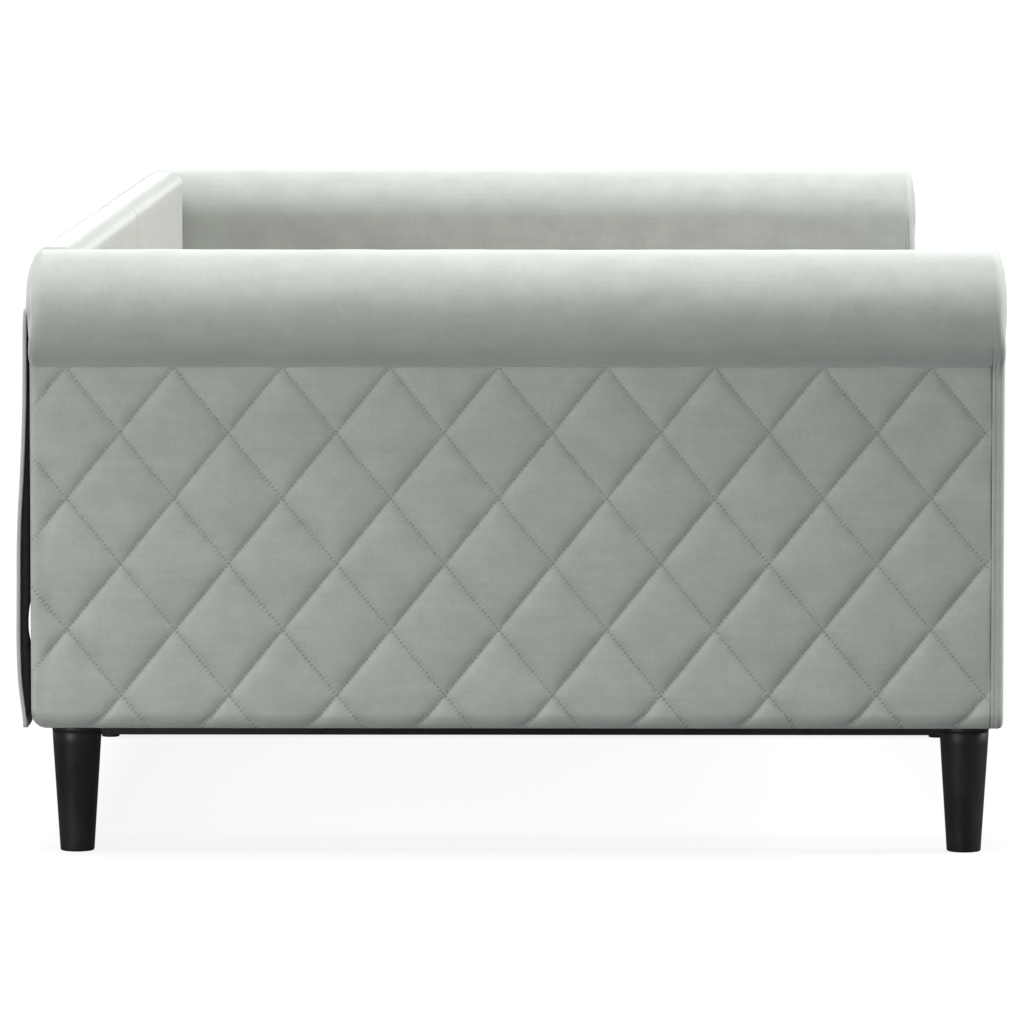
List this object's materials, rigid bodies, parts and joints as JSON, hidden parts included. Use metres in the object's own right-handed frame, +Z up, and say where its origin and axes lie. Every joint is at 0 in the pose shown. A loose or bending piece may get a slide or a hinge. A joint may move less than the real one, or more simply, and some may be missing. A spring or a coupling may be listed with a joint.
{
  "type": "daybed",
  "caption": "Velvet daybed with rolled arms, quilted outer arm panels, a full-length back, a low front rail, a slatted base and tapered black legs.",
  "frame": {"origin": "on the floor, at the middle of the bounding box seen from above", "axes": "+X along the length, from the left arm to the right arm for a person facing the open front; +Y from the open front to the back; +Z up"},
  "size_m": [2.248, 0.99, 0.607],
  "materials": {
    "velvet": "light grey-green short-pile velvet with a soft sheen",
    "quilted_velvet": "the same velvet, quilted to wadding in diamonds with tone-on-tone thread",
    "foam": "soft open-cell cushioning foam",
    "black_nonwoven": "black spun-bonded lining cloth",
    "rib_plywood": "raw sawn plywood",
    "slat_plywood": "sanded clear plywood",
    "pine": "planed softwood",
    "hardboard": "smooth brown hardboard",
    "chipboard": "raw chipboard",
    "black_panel": "matt black painted board",
    "black_leg": "satin black moulded plastic",
    "black_plastic": "black moulded plastic",
    "zinc_steel": "zinc-plated steel"
  },
  "bodies": {
    "bed": {"back_bolts": "zinc_steel", "centre_glides": "black_plastic", "centre_panel": "black_panel", "front_ledges": "pine", "left_arm_bottom_rail": "pine", "left_arm_cover": "velvet", "left_arm_dust_cover": "black_nonwoven", "left_arm_foam": "foam", "left_arm_front_band": "velvet", "left_arm_front_rib": "rib_plywood", "left_arm_quilted_panel": "quilted_velvet", "left_arm_rear_cap": "velvet", "left_arm_rear_liner": "black_nonwoven", "left_arm_rear_rib": "rib_plywood", "left_arm_skin_board": "hardboard", "left_arm_top_rail": "pine", "left_back_board": "chipboard", "left_back_cover": "velvet", "left_back_foam": "foam", "left_front_leg": "black_leg", "left_rail_board": "chipboard", "left_rail_cover": "velvet", "left_rear_leg": "black_leg", "leg_bolts": "zinc_steel", "rail_brackets": "zinc_steel", "rear_ledges": "pine", "right_arm_bottom_rail": "pine", "right_arm_cover": "velvet", "right_arm_dust_cover": "black_nonwoven", "right_arm_foam": "foam", "right_arm_front_band": "velvet", "right_arm_front_rib": "rib_plywood", "right_arm_quilted_panel": "quilted_velvet", "right_arm_rear_cap": "velvet", "right_arm_rear_liner": "black_nonwoven", "right_arm_rear_rib": "rib_plywood", "right_arm_skin_board": "hardboard", "right_arm_top_rail": "pine", "right_back_board": "chipboard", "right_back_cover": "velvet", "right_back_foam": "foam", "right_front_leg": "black_leg", "right_rail_board": "chipboard", "right_rail_cover": "velvet", "right_rear_leg": "black_leg", "slat_01": "slat_plywood", "slat_02": "slat_plywood", "slat_03": "slat_plywood", "slat_04": "slat_plywood", "slat_05": "slat_plywood", "slat_06": "slat_plywood", "slat_07": "slat_plywood", "slat_08": "slat_plywood", "slat_09": "slat_plywood", "slat_10": "slat_plywood", "slat_11": "slat_plywood", "slat_12": "slat_plywood", "slat_13": "slat_plywood"},
    "left_flap": {"left_rear_flap": "velvet"},
    "right_flap": {"right_rear_flap": "velvet"}
  },
  "joints": [
    {"name": "left_flap_lift", "type": "hinge", "parent": "bed", "child": "left_flap", "pos_m": [-1.043, 0.4818, 0.5475], "axis": [1, 0, 0], "range_deg": [0, 120]},
    {"name": "right_flap_lift", "type": "hinge", "parent": "bed", "child": "right_flap", "pos_m": [1.043, 0.4818, 0.5475], "axis": [1, 0, 0], "range_deg": [0, 120]}
  ]
}
